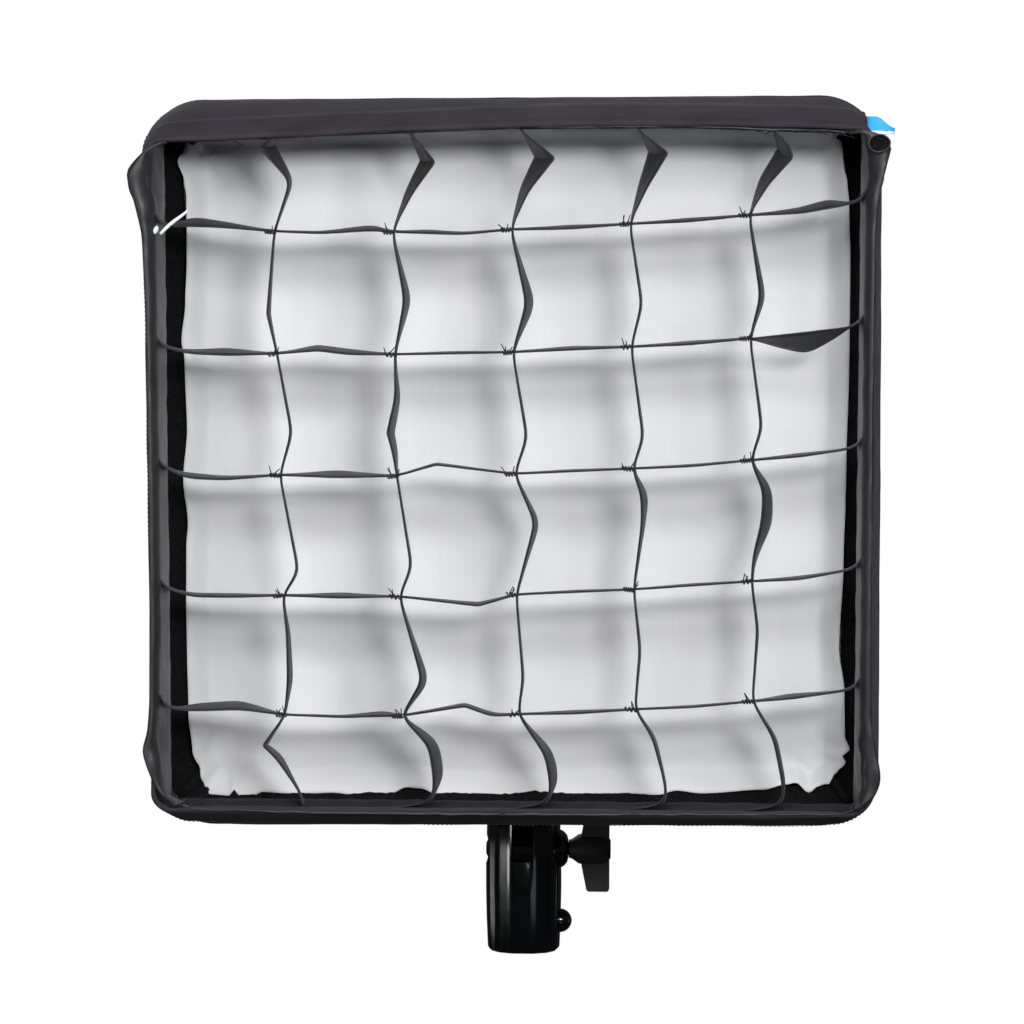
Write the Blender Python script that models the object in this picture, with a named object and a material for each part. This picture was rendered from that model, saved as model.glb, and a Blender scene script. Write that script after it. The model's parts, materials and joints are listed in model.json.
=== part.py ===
"""Square softbox with an egg-crate grid, on a tilting stand bracket.

Every physical piece is its own object. The frame has +Z up and the softbox faces -Y.
The origin is the centre of the stand socket's mouth, on the bracket's bottom face.

Run with: blender --background --python part.py
"""
import math

import bmesh
import bpy
from mathutils import Vector

# Driving dimensions, in metres. "Half" sizes are measured from the softbox's centre line.
CLEARANCE = 0.0003
FABRIC = 0.0016

CENTRE_Z = 0.318
CREASE_Y = -0.1445
CREASE_HALF = 0.2095
MOUTH_Y = -0.200
MOUTH_HALF = 0.198

BACK_FRONT_Y = -0.045
BACK_REAR_Y = -0.029
BACK_HALF = 0.150
BACK_BAR_WIDTH = 0.012

FRONT_ROD_RADIUS = 0.0015
FRONT_ROD_HALF = 0.2065
FRONT_CORNER_RADIUS = 0.032
SEAM_HALF_GAP = 0.0019

RIB_RADIUS = 0.002
RIB_HOLE_RADIUS = 0.0023
RIB_REAR = Vector((0.1454, -0.0500, 0.1454))
RIB_FRONT = Vector((0.1935, -0.1390, 0.1935))

BLOCK_INNER = 0.132
BLOCK_DEPTH = 0.012

TAPE_FRONT_Y = -0.1405
TAPE_REAR_Y = -0.1185
TAPE_THICKNESS = 0.0012

DIFFUSER_Y = -0.1165
DIFFUSER_THICKNESS = 0.0016
DIFFUSER_HALF = 0.1895
DIFFUSER_CORNER_CUT = 0.0235

GRID_CELLS = 6
GRID_FRONT_Y = -0.202
GRID_REAR_Y = -0.168
GRID_HALF = 0.1955
STRIP_THICKNESS = 0.0012
STRIP_SLOT_WIDTH = 0.0018
STRIP_FRONT_Y = -0.1990
STRIP_REAR_Y = -0.1690
STRIP_LAP_GAP = 0.0002

PIVOT_Z = 0.063
COLUMN_HEIGHT = 0.092
COLUMN_HALF_WIDTH = 0.0235
COLUMN_HALF_DEPTH = 0.0190
COLUMN_BARREL = 0.0012
COLUMN_SQUARENESS = 2.5
COLUMN_FLUTES = 14
COLUMN_FLUTE_DEPTH = 0.012
COLUMN_SIDES = 56

FORK_SKIRT_Z = 0.0580
FORK_HALF_WIDTH = 0.0068
KNUCKLE_RADIUS = 0.0172
TONGUE_HALF_WIDTH = 0.0065
TONGUE_HALF_DEPTH = 0.0085
FOOT_HALF_WIDTH = 0.028
FOOT_THICKNESS = 0.008
GUSSET_START_Z = 0.128

BOLT_RADIUS = 0.0040
BOLT_HOLE_RADIUS = 0.0043
BOLT_HEAD_RADIUS = 0.0066
BOLT_END_X = 0.0390
RIGHT_SEAT_X = 0.0185
RIGHT_SEAT_RADIUS = 0.0128
LEFT_SEAT_X = -0.0160
LEFT_SEAT_RADIUS = 0.0090
WASHER_THICKNESS = 0.0014
FLANGE_RADIUS = 0.0122
FLANGE_RIM_THICKNESS = 0.0030
FLANGE_NECK_RADIUS = 0.0060

KNOB_START_X = 0.0280
KNOB_BOSS_RADIUS = 0.0096
KNOB_END_X = 0.0540
KNOB_NECK_RADIUS = 0.0056
KNOB_WING_REACH = 0.0262
KNOB_WING_THICKNESS = 0.0090
KNOB_WING_CORNER = 0.0012

SOCKET_RADIUS = 0.00815
BUSH_RADIUS = 0.0097
SOCKET_BORE_RADIUS = 0.0100
SOCKET_DEPTH = 0.040
LOCK_Z = 0.0175
LOCK_SCREW_RADIUS = 0.0025
LOCK_HOLE_RADIUS = 0.0028
LOCK_POCKET_X = 0.0165
LOCK_POCKET_RADIUS = 0.0078
LOCK_BALL_RADIUS = 0.0074
LOCK_WASHER_RADIUS = 0.0060
LOCK_WASHER_THICKNESS = 0.0010
LOCK_TIP_X = 0.0085
LOCK_SCREW_END_X = 0.0235

FOOT_SCREW_X = 0.018
FOOT_SCREW_RADIUS = 0.0025
FOOT_SCREW_HOLE_RADIUS = 0.0028
FOOT_SCREW_DEPTH = 0.0085

SIDES = ("top", "right", "bottom", "left")
CORNERS = ("top_right", "bottom_right", "bottom_left", "top_left")
QUARTER_TURN = math.pi / 2

# Colour, metallic and roughness of each material.
FINISHES = {
    "outer_fabric": ((0.045, 0.040, 0.045), 0.0, 0.75),
    "shell_fabric": ((0.020, 0.020, 0.022), 0.0, 0.80),
    "loop_tape": ((0.008, 0.008, 0.009), 0.0, 1.00),
    "diffuser_cloth": ((0.860, 0.860, 0.880), 0.0, 0.85),
    "grid_fabric": ((0.050, 0.050, 0.055), 0.0, 0.65),
    "border_nylon": ((0.070, 0.070, 0.078), 0.0, 0.50),
    "frame_alloy": ((0.030, 0.030, 0.032), 0.9, 0.45),
    "corner_plastic": ((0.020, 0.020, 0.020), 0.0, 0.60),
    "spring_steel": ((0.450, 0.450, 0.460), 1.0, 0.35),
    "rib_fibreglass": ((0.560, 0.520, 0.400), 0.0, 0.50),
    "bracket_gloss": ((0.006, 0.007, 0.008), 0.0, 0.15),
    "knob_plastic": ((0.012, 0.012, 0.013), 0.0, 0.55),
    "dark_steel": ((0.080, 0.080, 0.085), 1.0, 0.35),
    "bush_brass": ((0.700, 0.500, 0.220), 1.0, 0.35),
}


def clear_scene():
    """Remove every object, so that the model starts from nothing."""
    for obj in list(bpy.data.objects):
        bpy.data.objects.remove(obj, do_unlink=True)


def make_materials():
    """Make one Principled BSDF material for each finish."""
    materials = {}
    for name, (colour, metallic, roughness) in FINISHES.items():
        material = bpy.data.materials.new(name)
        material.use_nodes = True
        shader = material.node_tree.nodes["Principled BSDF"]
        shader.inputs["Base Color"].default_value = (*colour, 1.0)
        shader.inputs["Metallic"].default_value = metallic
        shader.inputs["Roughness"].default_value = roughness
        materials[name] = material
    return materials


def empty(name, location, parent=None):
    """Add an empty that carries the pieces of one moving body."""
    axis = bpy.data.objects.new(name, None)
    axis.location = location
    axis.parent = parent
    bpy.context.scene.collection.objects.link(axis)
    return axis


def add_piece(name, mesh, material, parent=None, location=(0, 0, 0), turn=0.0):
    """Add one named piece; turn is its rotation about Y, in radians."""
    piece = bpy.data.objects.new(name, mesh)
    piece.location = location
    piece.rotation_euler = (0, turn, 0)
    piece.parent = parent
    if material and not mesh.materials:
        mesh.materials.append(material)
    bpy.context.scene.collection.objects.link(piece)
    return piece


def finish_mesh(name, work, smooth_angle=None):
    """Turn a bmesh into a mesh whose faces point out."""
    bmesh.ops.recalc_face_normals(work, faces=work.faces)
    mesh = bpy.data.meshes.new(name)
    work.to_mesh(mesh)
    work.free()
    if smooth_angle is not None:
        mesh.shade_smooth()
        mesh.set_sharp_from_angle(angle=smooth_angle)
    return mesh


def loft(name, rings, closed=False, smooth_angle=None):
    """Skin a list of equal rings of points, with flat ends or joined into a loop."""
    work = bmesh.new()
    loops = [[work.verts.new(point) for point in ring] for ring in rings]
    pairs = list(zip(loops, loops[1:]))
    if closed:
        pairs.append((loops[-1], loops[0]))
    count = len(loops[0])
    for first, second in pairs:
        for i in range(count):
            j = (i + 1) % count
            work.faces.new((first[i], first[j], second[j], second[i]))
    if not closed:
        work.faces.new(loops[0])
        work.faces.new(loops[-1])
    return finish_mesh(name, work, smooth_angle)


def turned(name, profile, bored=False, along="X", sides=24):
    """Turn a profile of (height, radius) points about X, or about Z."""
    rings = []
    for height, radius in profile:
        ring = []
        for i in range(sides):
            angle = 2 * math.pi * i / sides
            across, up = radius * math.cos(angle), radius * math.sin(angle)
            point = (height, across, up) if along == "X" else (across, up, height)
            ring.append(point)
        rings.append(ring)
    return loft(name, rings, closed=bored, smooth_angle=math.radians(35))


def tube(name, points, radius, normal, sides=10):
    """Sweep a round section along points that lie in the plane with this normal."""
    rings = []
    for i, point in enumerate(points):
        before = points[max(i - 1, 0)]
        after = points[min(i + 1, len(points) - 1)]
        tangent = (after - before).normalized()
        side = tangent.cross(normal).normalized()
        lift = side.cross(tangent)
        ring = []
        for k in range(sides):
            angle = 2 * math.pi * k / sides
            ring.append(point + radius * (math.cos(angle) * side + math.sin(angle) * lift))
        rings.append(ring)
    return loft(name, rings, smooth_angle=math.radians(40))


def prism(name, outline, low, high, along):
    """Extrude an outline along one axis; its points hold the other two coordinates in order."""
    def place(point, height):
        coordinates = list(point)
        coordinates.insert("XYZ".index(along), height)
        return coordinates
    return loft(name, [[place(p, low) for p in outline], [place(p, high) for p in outline]])


def box(name, low, high):
    """A box between two corners."""
    outline = [(low[0], low[1]), (high[0], low[1]), (high[0], high[1]), (low[0], high[1])]
    return prism(name, outline, low[2], high[2], "Z")


def mitred_panel(name, section):
    """One side of a square ring: a (y, half) section whose ends meet the next side at 45 degrees."""
    left = [(-(half - CLEARANCE), y, half) for y, half in section]
    right = [(half - CLEARANCE, y, half) for y, half in section]
    return loft(name, [left, right])


def add_ring(prefix, mesh, material, parent, names=SIDES):
    """Add the four sides or corners of a square ring, a quarter turn apart."""
    return [
        add_piece(f"{prefix}_{name}", mesh, material, parent, turn=step * QUARTER_TURN)
        for step, name in enumerate(names)
    ]


def combine(piece, cutters, operation="DIFFERENCE"):
    """Cut the cutters from a piece, or join them to it, and hide them."""
    for cutter in cutters:
        cutter.hide_render = True
        cutter.display_type = "WIRE"
        modifier = piece.modifiers.new(cutter.name, "BOOLEAN")
        modifier.object = cutter
        modifier.operation = operation
        modifier.solver = "EXACT"


def add_cutter(name, mesh, parent=None, location=(0, 0, 0)):
    """Add a shape that is only used to cut or join."""
    return add_piece(name, mesh, None, parent, location)


def shell_half(y):
    """Outer half side of the tapered shell at this depth."""
    front = CREASE_Y + SEAM_HALF_GAP
    rear = BACK_FRONT_Y - CLEARANCE
    along = (y - front) / (rear - front)
    return CREASE_HALF + (BACK_HALF - CREASE_HALF) * along


def column_ring(z, scale=1.0):
    """Outline of the bracket column at a height: a rounded rectangle with shallow flutes."""
    middle = COLUMN_HEIGHT / 2
    barrel = COLUMN_BARREL * ((z - middle) / middle) ** 2
    half_width = (COLUMN_HALF_WIDTH - barrel) * scale
    half_depth = (COLUMN_HALF_DEPTH - barrel) * scale
    power = 2 / COLUMN_SQUARENESS
    ring = []
    for i in range(COLUMN_SIDES):
        angle = 2 * math.pi * i / COLUMN_SIDES
        flute = 1 - COLUMN_FLUTE_DEPTH * (1 - math.cos(COLUMN_FLUTES * angle))
        cosine, sine = math.cos(angle), math.sin(angle)
        x = half_width * flute * math.copysign(abs(cosine) ** power, cosine)
        y = half_depth * flute * math.copysign(abs(sine) ** power, sine)
        ring.append((x, y, z))
    return ring


def make_bracket(materials):
    """The column with its fork, stand socket and screw seats, and the brass bush in it."""
    edge = 0.0012
    levels = [(0.0, 0.95), (edge, 1.0), (0.02, 1.0), (0.039, 1.0), (0.058, 1.0)]
    levels += [(COLUMN_HEIGHT - 3 * edge, 1.0), (COLUMN_HEIGHT, 0.90)]
    rings = [column_ring(z, scale) for z, scale in levels]
    body = loft("bracket_column", rings, smooth_angle=math.radians(30))
    column = add_piece("bracket_column", body, materials["bracket_gloss"])

    reach = 0.040
    slot = box("fork_slot", (-FORK_HALF_WIDTH, -reach, FORK_SKIRT_Z), (FORK_HALF_WIDTH, reach, 0.1))
    pocket_radius = KNUCKLE_RADIUS + CLEARANCE
    pocket_section = [(-FORK_HALF_WIDTH, pocket_radius), (FORK_HALF_WIDTH, pocket_radius)]
    pocket = turned("knuckle_pocket", pocket_section, sides=48)
    pivot = (0, 0, PIVOT_Z)
    lock = (0, 0, LOCK_Z)

    def bore(name, start, end, radius, location):
        return add_cutter(name, turned(name, [(start, radius), (end, radius)]), None, location)

    socket = turned("socket_bore", [(-0.005, SOCKET_BORE_RADIUS), (SOCKET_DEPTH, SOCKET_BORE_RADIUS)],
                    along="Z", sides=32)
    cutters = [
        add_cutter("fork_slot", slot),
        add_cutter("knuckle_pocket", pocket, None, pivot),
        add_cutter("socket_bore", socket),
        bore("pivot_hole", -reach, reach, BOLT_HOLE_RADIUS, pivot),
        bore("right_seat", RIGHT_SEAT_X, reach, RIGHT_SEAT_RADIUS, pivot),
        bore("left_seat", -reach, LEFT_SEAT_X, LEFT_SEAT_RADIUS, pivot),
        bore("lock_hole", 0.004, reach, LOCK_HOLE_RADIUS, lock),
        bore("lock_pocket", LOCK_POCKET_X, reach, LOCK_POCKET_RADIUS, lock),
    ]
    combine(column, cutters)

    bush_top = SOCKET_DEPTH - CLEARANCE
    bush_section = [(CLEARANCE, SOCKET_RADIUS), (bush_top, SOCKET_RADIUS)]
    bush_section += [(bush_top, BUSH_RADIUS), (CLEARANCE, BUSH_RADIUS)]
    bush_mesh = turned("socket_bush", bush_section, bored=True, along="Z", sides=32)
    bush = add_piece("socket_bush", bush_mesh, materials["bush_brass"])
    bush_hole = bore("bush_lock_hole", 0.004, reach, LOCK_HOLE_RADIUS, lock)
    combine(bush, [bush_hole])


def make_pivot(materials):
    """The pivot bolt and its washer, fixed in the fork's left ear."""
    pivot = empty("pivot", (0, 0, PIVOT_Z))
    washer_left = LEFT_SEAT_X - CLEARANCE - WASHER_THICKNESS
    washer_right = LEFT_SEAT_X - CLEARANCE
    washer_radius = LEFT_SEAT_RADIUS - 0.001
    section = [(washer_left, BOLT_HOLE_RADIUS), (washer_right, BOLT_HOLE_RADIUS)]
    section += [(washer_right, washer_radius), (washer_left, washer_radius)]
    washer = turned("pivot_washer", section, bored=True)
    add_piece("pivot_washer", washer, materials["dark_steel"], pivot)

    head_right = washer_left - CLEARANCE
    head_left = head_right - 0.0052
    shape = [(head_left, BOLT_HEAD_RADIUS * 0.55), (head_left + 0.0018, BOLT_HEAD_RADIUS)]
    shape += [(head_right, BOLT_HEAD_RADIUS), (head_right, BOLT_RADIUS)]
    shape += [(BOLT_END_X - 0.001, BOLT_RADIUS), (BOLT_END_X, BOLT_RADIUS * 0.8)]
    add_piece("pivot_bolt", turned("pivot_bolt", shape), materials["dark_steel"], pivot)
    return pivot


def make_tilt_clamp(materials, pivot):
    """The domed flange that presses the fork, and the T-shaped knob that turns on the bolt."""
    base = RIGHT_SEAT_X + CLEARANCE
    hole = BOLT_HOLE_RADIUS
    end = KNOB_START_X - CLEARANCE
    rim = base + FLANGE_RIM_THICKNESS
    dome = FLANGE_RADIUS - FLANGE_NECK_RADIUS
    section = [(base, hole), (base, FLANGE_RADIUS), (rim, FLANGE_RADIUS)]
    for step in range(1, 5):
        angle = QUARTER_TURN * step / 4
        height = rim + (end - rim) * math.sin(angle) ** 1.4
        section.append((height, FLANGE_NECK_RADIUS + dome * math.cos(angle)))
    section.append((end, hole))
    flange = turned("tilt_flange", section, bored=True)
    add_piece("tilt_flange", flange, materials["bracket_gloss"], pivot)

    boss = [(KNOB_START_X, KNOB_NECK_RADIUS), (KNOB_START_X + 0.0020, KNOB_NECK_RADIUS * 1.1)]
    boss += [(KNOB_START_X + 0.0060, KNOB_BOSS_RADIUS * 0.94), (KNOB_START_X + 0.0085, KNOB_BOSS_RADIUS)]
    boss += [(KNOB_END_X - 0.0050, KNOB_BOSS_RADIUS), (KNOB_END_X - 0.0015, KNOB_BOSS_RADIUS * 0.85)]
    boss += [(KNOB_END_X, KNOB_BOSS_RADIUS * 0.57)]
    knob = add_piece("tilt_knob", turned("tilt_knob", boss), materials["knob_plastic"], pivot)

    half = KNOB_WING_THICKNESS / 2
    root, tip, outer = KNOB_START_X + 0.0080, KNOB_START_X + 0.0110, KNOB_END_X - 0.0008
    reach, corner = KNOB_WING_REACH, KNOB_WING_CORNER
    upper = [(outer, reach - corner), (outer - corner, reach), (tip + corner, reach), (tip, reach - corner)]
    lower = [(x, -z) for x, z in reversed(upper)]
    outline = upper + [(root, KNOB_BOSS_RADIUS), (root, -KNOB_BOSS_RADIUS)] + lower
    wings = add_cutter("knob_wings", prism("knob_wings", outline, -half, half, "Y"), pivot)
    bore = turned("knob_bore", [(0.02, hole), (BOLT_END_X + 0.002, hole)])
    combine(knob, [wings], "UNION")
    combine(knob, [add_cutter("knob_bore", bore, pivot)])


def make_stand_lock(materials):
    """The ball knob on its screw, and the loose washer under it."""
    lock = empty("stand_lock", (0, 0, LOCK_Z))
    washer_start = LOCK_POCKET_X + CLEARANCE
    washer_end = washer_start + LOCK_WASHER_THICKNESS
    hole = LOCK_HOLE_RADIUS
    section = [(washer_start, hole), (washer_end, hole)]
    section += [(washer_end, LOCK_WASHER_RADIUS), (washer_start, LOCK_WASHER_RADIUS)]
    add_piece("lock_washer", turned("lock_washer", section, bored=True), materials["dark_steel"], lock)

    screw = [(LOCK_TIP_X, LOCK_SCREW_RADIUS * 0.7), (LOCK_TIP_X + 0.0008, LOCK_SCREW_RADIUS)]
    screw += [(LOCK_SCREW_END_X, LOCK_SCREW_RADIUS)]
    add_piece("lock_screw", turned("lock_screw", screw, sides=16), materials["dark_steel"], lock)

    ball_start = washer_end + CLEARANCE
    ball_centre = ball_start + LOCK_BALL_RADIUS * 0.60
    ball = []
    first_angle = math.acos((ball_start - ball_centre) / LOCK_BALL_RADIUS)
    for step in range(9):
        angle = first_angle * (1 - step / 8) + math.radians(8) * step / 8
        ball.append((ball_centre + LOCK_BALL_RADIUS * math.cos(angle), LOCK_BALL_RADIUS * math.sin(angle)))
    bottom = LOCK_SCREW_END_X + CLEARANCE
    ball_mesh = turned("lock_knob", ball)
    knob = add_piece("lock_knob", ball_mesh, materials["bracket_gloss"], lock)
    bore = turned("lock_knob_bore", [(0.01, hole), (bottom, hole)])
    combine(knob, [add_cutter("lock_knob_bore", bore, lock)])


def make_tongue(materials, head):
    """The tongue's round knuckle between the fork's ears, its foot under the back frame and its screws."""
    foot_top = CENTRE_Z - BACK_HALF - CLEARANCE - PIVOT_Z
    foot_low = foot_top - FOOT_THICKNESS
    inside = foot_top - FOOT_THICKNESS / 2
    half = TONGUE_HALF_DEPTH
    outline = [(half, inside)]
    first_angle = math.acos(half / KNUCKLE_RADIUS)
    for step in range(41):
        angle = first_angle - (math.pi + 2 * first_angle) * step / 40
        outline.append((KNUCKLE_RADIUS * math.cos(angle), KNUCKLE_RADIUS * math.sin(angle)))
    outline += [(-half, GUSSET_START_Z - PIVOT_Z), (-0.040, foot_low - 0.001), (-0.040, inside)]
    stem = prism("pivot_tongue", outline, -TONGUE_HALF_WIDTH, TONGUE_HALF_WIDTH, "X")
    tongue = add_piece("pivot_tongue", stem, materials["bracket_gloss"], head)
    foot_mesh = box("tongue_foot", (-FOOT_HALF_WIDTH, BACK_FRONT_Y, foot_low),
                    (FOOT_HALF_WIDTH, half + 0.001, foot_top))
    combine(tongue, [add_cutter("tongue_foot", foot_mesh, head)], "UNION")
    hole = turned("tongue_hole", [(-0.03, BOLT_HOLE_RADIUS), (0.03, BOLT_HOLE_RADIUS)])
    cutters = [add_cutter("tongue_hole", hole, head)]

    screw_y = (BACK_FRONT_Y + BACK_REAR_Y) / 2
    head_top = foot_low - CLEARANCE
    shank_top = foot_top + FOOT_SCREW_DEPTH
    radius = FOOT_SCREW_RADIUS
    shape = [(head_top - 0.0038, 0.0035), (head_top - 0.0030, 0.0044), (head_top, 0.0044)]
    shape += [(head_top, radius), (shank_top, radius)]
    screw_mesh = turned("foot_screw", shape, along="Z", sides=16)
    top = shank_top + CLEARANCE
    hole_mesh = turned("foot_screw_hole", [(foot_low - 0.01, FOOT_SCREW_HOLE_RADIUS),
                                           (top, FOOT_SCREW_HOLE_RADIUS)], along="Z", sides=16)
    holes = []
    for name, side in (("left", -1), ("right", 1)):
        place = (side * FOOT_SCREW_X, screw_y, 0)
        add_piece(f"foot_screw_{name}", screw_mesh, materials["dark_steel"], head, place)
        holes.append(add_cutter(f"foot_screw_hole_{name}", hole_mesh, head, place))
    combine(tongue, cutters + holes)
    return holes


def make_back_frame(materials, centre, foot_holes):
    """The square alloy frame that the light sits on, with its four corner blocks."""
    inner = BACK_HALF - BACK_BAR_WIDTH
    section = [(BACK_FRONT_Y, BACK_HALF), (BACK_REAR_Y, BACK_HALF), (BACK_REAR_Y, inner)]
    section += [(BACK_FRONT_Y, inner)]
    bars = add_ring("back_bar", mitred_panel("back_bar", section), materials["frame_alloy"], centre)
    combine(bars[SIDES.index("bottom")], foot_holes)

    rear = BACK_FRONT_Y - CLEARANCE
    front = rear - BLOCK_DEPTH
    wall = FABRIC * 1.2 + CLEARANCE
    rings = []
    for y in (front, rear):
        outer = shell_half(y) - wall
        rings.append([(BLOCK_INNER, y, BLOCK_INNER), (outer, y, BLOCK_INNER), (outer, y, outer),
                      (BLOCK_INNER, y, outer)])
    mesh = loft("corner_block", rings)
    blocks = add_ring("corner_block", mesh, materials["corner_plastic"], centre, CORNERS)
    along = (RIB_FRONT - RIB_REAR).normalized()
    start = RIB_REAR - along * CLEARANCE
    hole = tube("rib_socket", [start, RIB_FRONT], RIB_HOLE_RADIUS, Vector((0, 1, 0)), sides=12)
    for step, block in enumerate(blocks):
        cutter = add_cutter(f"rib_socket_{step}", hole, centre)
        cutter.rotation_euler = (0, step * QUARTER_TURN, 0)
        combine(block, [cutter])


def make_front_frame(materials, centre):
    """The spring-steel front hoop, as four rods and four bent corners, and the four ribs behind it."""
    end = FRONT_ROD_HALF - FRONT_CORNER_RADIUS
    level = Vector((0, CREASE_Y, FRONT_ROD_HALF))
    reach = Vector((end - CLEARANCE / 2, 0, 0))
    across = Vector((0, 1, 0))
    rod = tube("front_rod", [level - reach, level + reach], FRONT_ROD_RADIUS, across)
    add_ring("front_rod", rod, materials["spring_steel"], centre)

    bend_centre = Vector((end, CREASE_Y, end))
    points = []
    margin = CLEARANCE / 2 / FRONT_CORNER_RADIUS
    for step in range(9):
        angle = margin + (QUARTER_TURN - 2 * margin) * step / 8
        offset = Vector((math.sin(angle), 0, math.cos(angle))) * FRONT_CORNER_RADIUS
        points.append(bend_centre + offset)
    corner = tube("front_corner", points, FRONT_ROD_RADIUS, across)
    add_ring("front_corner", corner, materials["spring_steel"], centre, CORNERS)

    rib = tube("rib", [RIB_REAR, RIB_FRONT], RIB_RADIUS, across)
    add_ring("rib", rib, materials["rib_fibreglass"], centre, CORNERS)


def make_fabric(materials, centre):
    """The tapered shell, the hood in front of it, the loop tapes and the front diffuser."""
    front, rear = CREASE_Y + SEAM_HALF_GAP, BACK_FRONT_Y - CLEARANCE
    wall = FABRIC * 1.2
    section = [(front, shell_half(front)), (rear, shell_half(rear)), (rear, shell_half(rear) - wall)]
    section += [(front, shell_half(front) - wall)]
    add_ring("shell", mitred_panel("shell", section), materials["shell_fabric"], centre)

    seam = CREASE_Y - SEAM_HALF_GAP
    section = [(MOUTH_Y, MOUTH_HALF), (seam, CREASE_HALF), (seam, CREASE_HALF - FABRIC)]
    section += [(MOUTH_Y, MOUTH_HALF - FABRIC)]
    add_ring("hood", mitred_panel("hood", section), materials["outer_fabric"], centre)

    top = wall + CLEARANCE * 1.2
    low = top + TAPE_THICKNESS * 1.2
    section = [(TAPE_FRONT_Y, shell_half(TAPE_FRONT_Y) - top), (TAPE_REAR_Y, shell_half(TAPE_REAR_Y) - top)]
    section += [(TAPE_REAR_Y, shell_half(TAPE_REAR_Y) - low), (TAPE_FRONT_Y, shell_half(TAPE_FRONT_Y) - low)]
    add_ring("loop_tape", mitred_panel("loop_tape", section), materials["loop_tape"], centre)

    half, cut = DIFFUSER_HALF, DIFFUSER_CORNER_CUT
    quarter = [(half - cut, half), (half, half - cut)]
    outline = []
    for x_sign, z_sign in ((1, 1), (1, -1), (-1, -1), (-1, 1)):
        corner = [(x_sign * x, z_sign * z) for x, z in quarter]
        outline += corner if x_sign * z_sign > 0 else corner[::-1]
    far = DIFFUSER_Y + DIFFUSER_THICKNESS
    add_piece("front_diffuser", prism("front_diffuser", outline, DIFFUSER_Y, far, "Y"),
              materials["diffuser_cloth"], centre)


def strip_outline(half_length, pitch, from_front):
    """Outline of a grid strip in plan, with a half-lap slot at every crossing."""
    middle = (STRIP_FRONT_Y + STRIP_REAR_Y) / 2
    slotted, plain = (STRIP_FRONT_Y, STRIP_REAR_Y) if from_front else (STRIP_REAR_Y, STRIP_FRONT_Y)
    floor = middle + (STRIP_LAP_GAP if from_front else -STRIP_LAP_GAP)
    outline = [(half_length, plain), (-half_length, plain), (-half_length, slotted)]
    for step in range(GRID_CELLS - 1):
        x = pitch * (step + 1 - GRID_CELLS / 2)
        left, right = x - STRIP_SLOT_WIDTH / 2, x + STRIP_SLOT_WIDTH / 2
        outline += [(left, slotted), (left, floor), (right, floor), (right, slotted)]
    outline.append((half_length, slotted))
    return outline


def make_grid(materials, centre):
    """The egg-crate grid: four border bands and the strips that lap at every crossing."""
    grid = empty("grid", (0, 0, 0), centre)
    inner = GRID_HALF - STRIP_THICKNESS
    section = [(GRID_FRONT_Y, GRID_HALF), (GRID_REAR_Y, GRID_HALF), (GRID_REAR_Y, inner)]
    section += [(GRID_FRONT_Y, inner)]
    add_ring("grid_band", mitred_panel("grid_band", section), materials["border_nylon"], grid)

    half_length = inner - CLEARANCE
    pitch = 2 * GRID_HALF / GRID_CELLS
    half = STRIP_THICKNESS / 2
    row_mesh = prism("row_strip", strip_outline(half_length, pitch, True), -half, half, "Z")
    column_mesh = prism("column_strip", strip_outline(half_length, pitch, False), -half, half, "Z")
    for step in range(GRID_CELLS - 1):
        offset = pitch * (GRID_CELLS / 2 - 1 - step)
        add_piece(f"row_strip_{step + 1}", row_mesh, materials["grid_fabric"], grid, (0, 0, offset))
        add_piece(f"column_strip_{step + 1}", column_mesh, materials["grid_fabric"], grid,
                  (-offset, 0, 0), QUARTER_TURN)


def main():
    clear_scene()
    materials = make_materials()
    make_bracket(materials)
    pivot = make_pivot(materials)
    make_tilt_clamp(materials, pivot)
    make_stand_lock(materials)
    head = empty("head", (0, 0, PIVOT_Z))
    centre = empty("head_centre", (0, 0, CENTRE_Z - PIVOT_Z), head)
    foot_holes = make_tongue(materials, head)
    make_back_frame(materials, centre, foot_holes)
    make_front_frame(materials, centre)
    make_fabric(materials, centre)
    make_grid(materials, centre)


main()
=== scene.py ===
"""Looks of the square softbox: cloth, thread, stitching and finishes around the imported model.
"""
import json
import math
import random

import bmesh
import bpy
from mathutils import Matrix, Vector, noise


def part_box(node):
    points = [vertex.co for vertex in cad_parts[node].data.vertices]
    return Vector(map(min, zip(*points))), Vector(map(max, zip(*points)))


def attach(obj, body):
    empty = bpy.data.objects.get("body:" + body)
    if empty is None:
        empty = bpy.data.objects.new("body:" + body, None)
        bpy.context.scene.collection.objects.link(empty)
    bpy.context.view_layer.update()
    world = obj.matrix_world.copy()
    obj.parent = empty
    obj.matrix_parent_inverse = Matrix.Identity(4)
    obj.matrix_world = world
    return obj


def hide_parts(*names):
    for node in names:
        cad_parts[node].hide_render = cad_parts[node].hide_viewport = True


noise.seed_set(12)

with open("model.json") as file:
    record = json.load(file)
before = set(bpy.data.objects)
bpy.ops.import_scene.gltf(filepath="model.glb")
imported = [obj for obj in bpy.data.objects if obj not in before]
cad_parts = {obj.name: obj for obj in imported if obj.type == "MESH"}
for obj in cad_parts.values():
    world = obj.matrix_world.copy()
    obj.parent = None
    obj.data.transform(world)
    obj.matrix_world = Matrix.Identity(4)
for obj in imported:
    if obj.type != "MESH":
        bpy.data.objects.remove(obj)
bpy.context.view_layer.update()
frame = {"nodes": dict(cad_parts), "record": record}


def span(*nodes):
    """Lowest and highest corner of several nodes together."""
    boxes = [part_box(node) for node in nodes]
    low = Vector([min(box[0][axis] for box in boxes) for axis in range(3)])
    high = Vector([max(box[1][axis] for box in boxes) for axis in range(3)])
    return low, high


SIDES = ("top", "right", "bottom", "left")
CORNERS = ("top_right", "bottom_right", "bottom_left", "top_left")
QUARTER_TURN = math.pi / 2


def ring_of(prefix, names=SIDES):
    """The names of the four nodes of one square ring."""
    return [f"{prefix}_{name}" for name in names]


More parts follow.
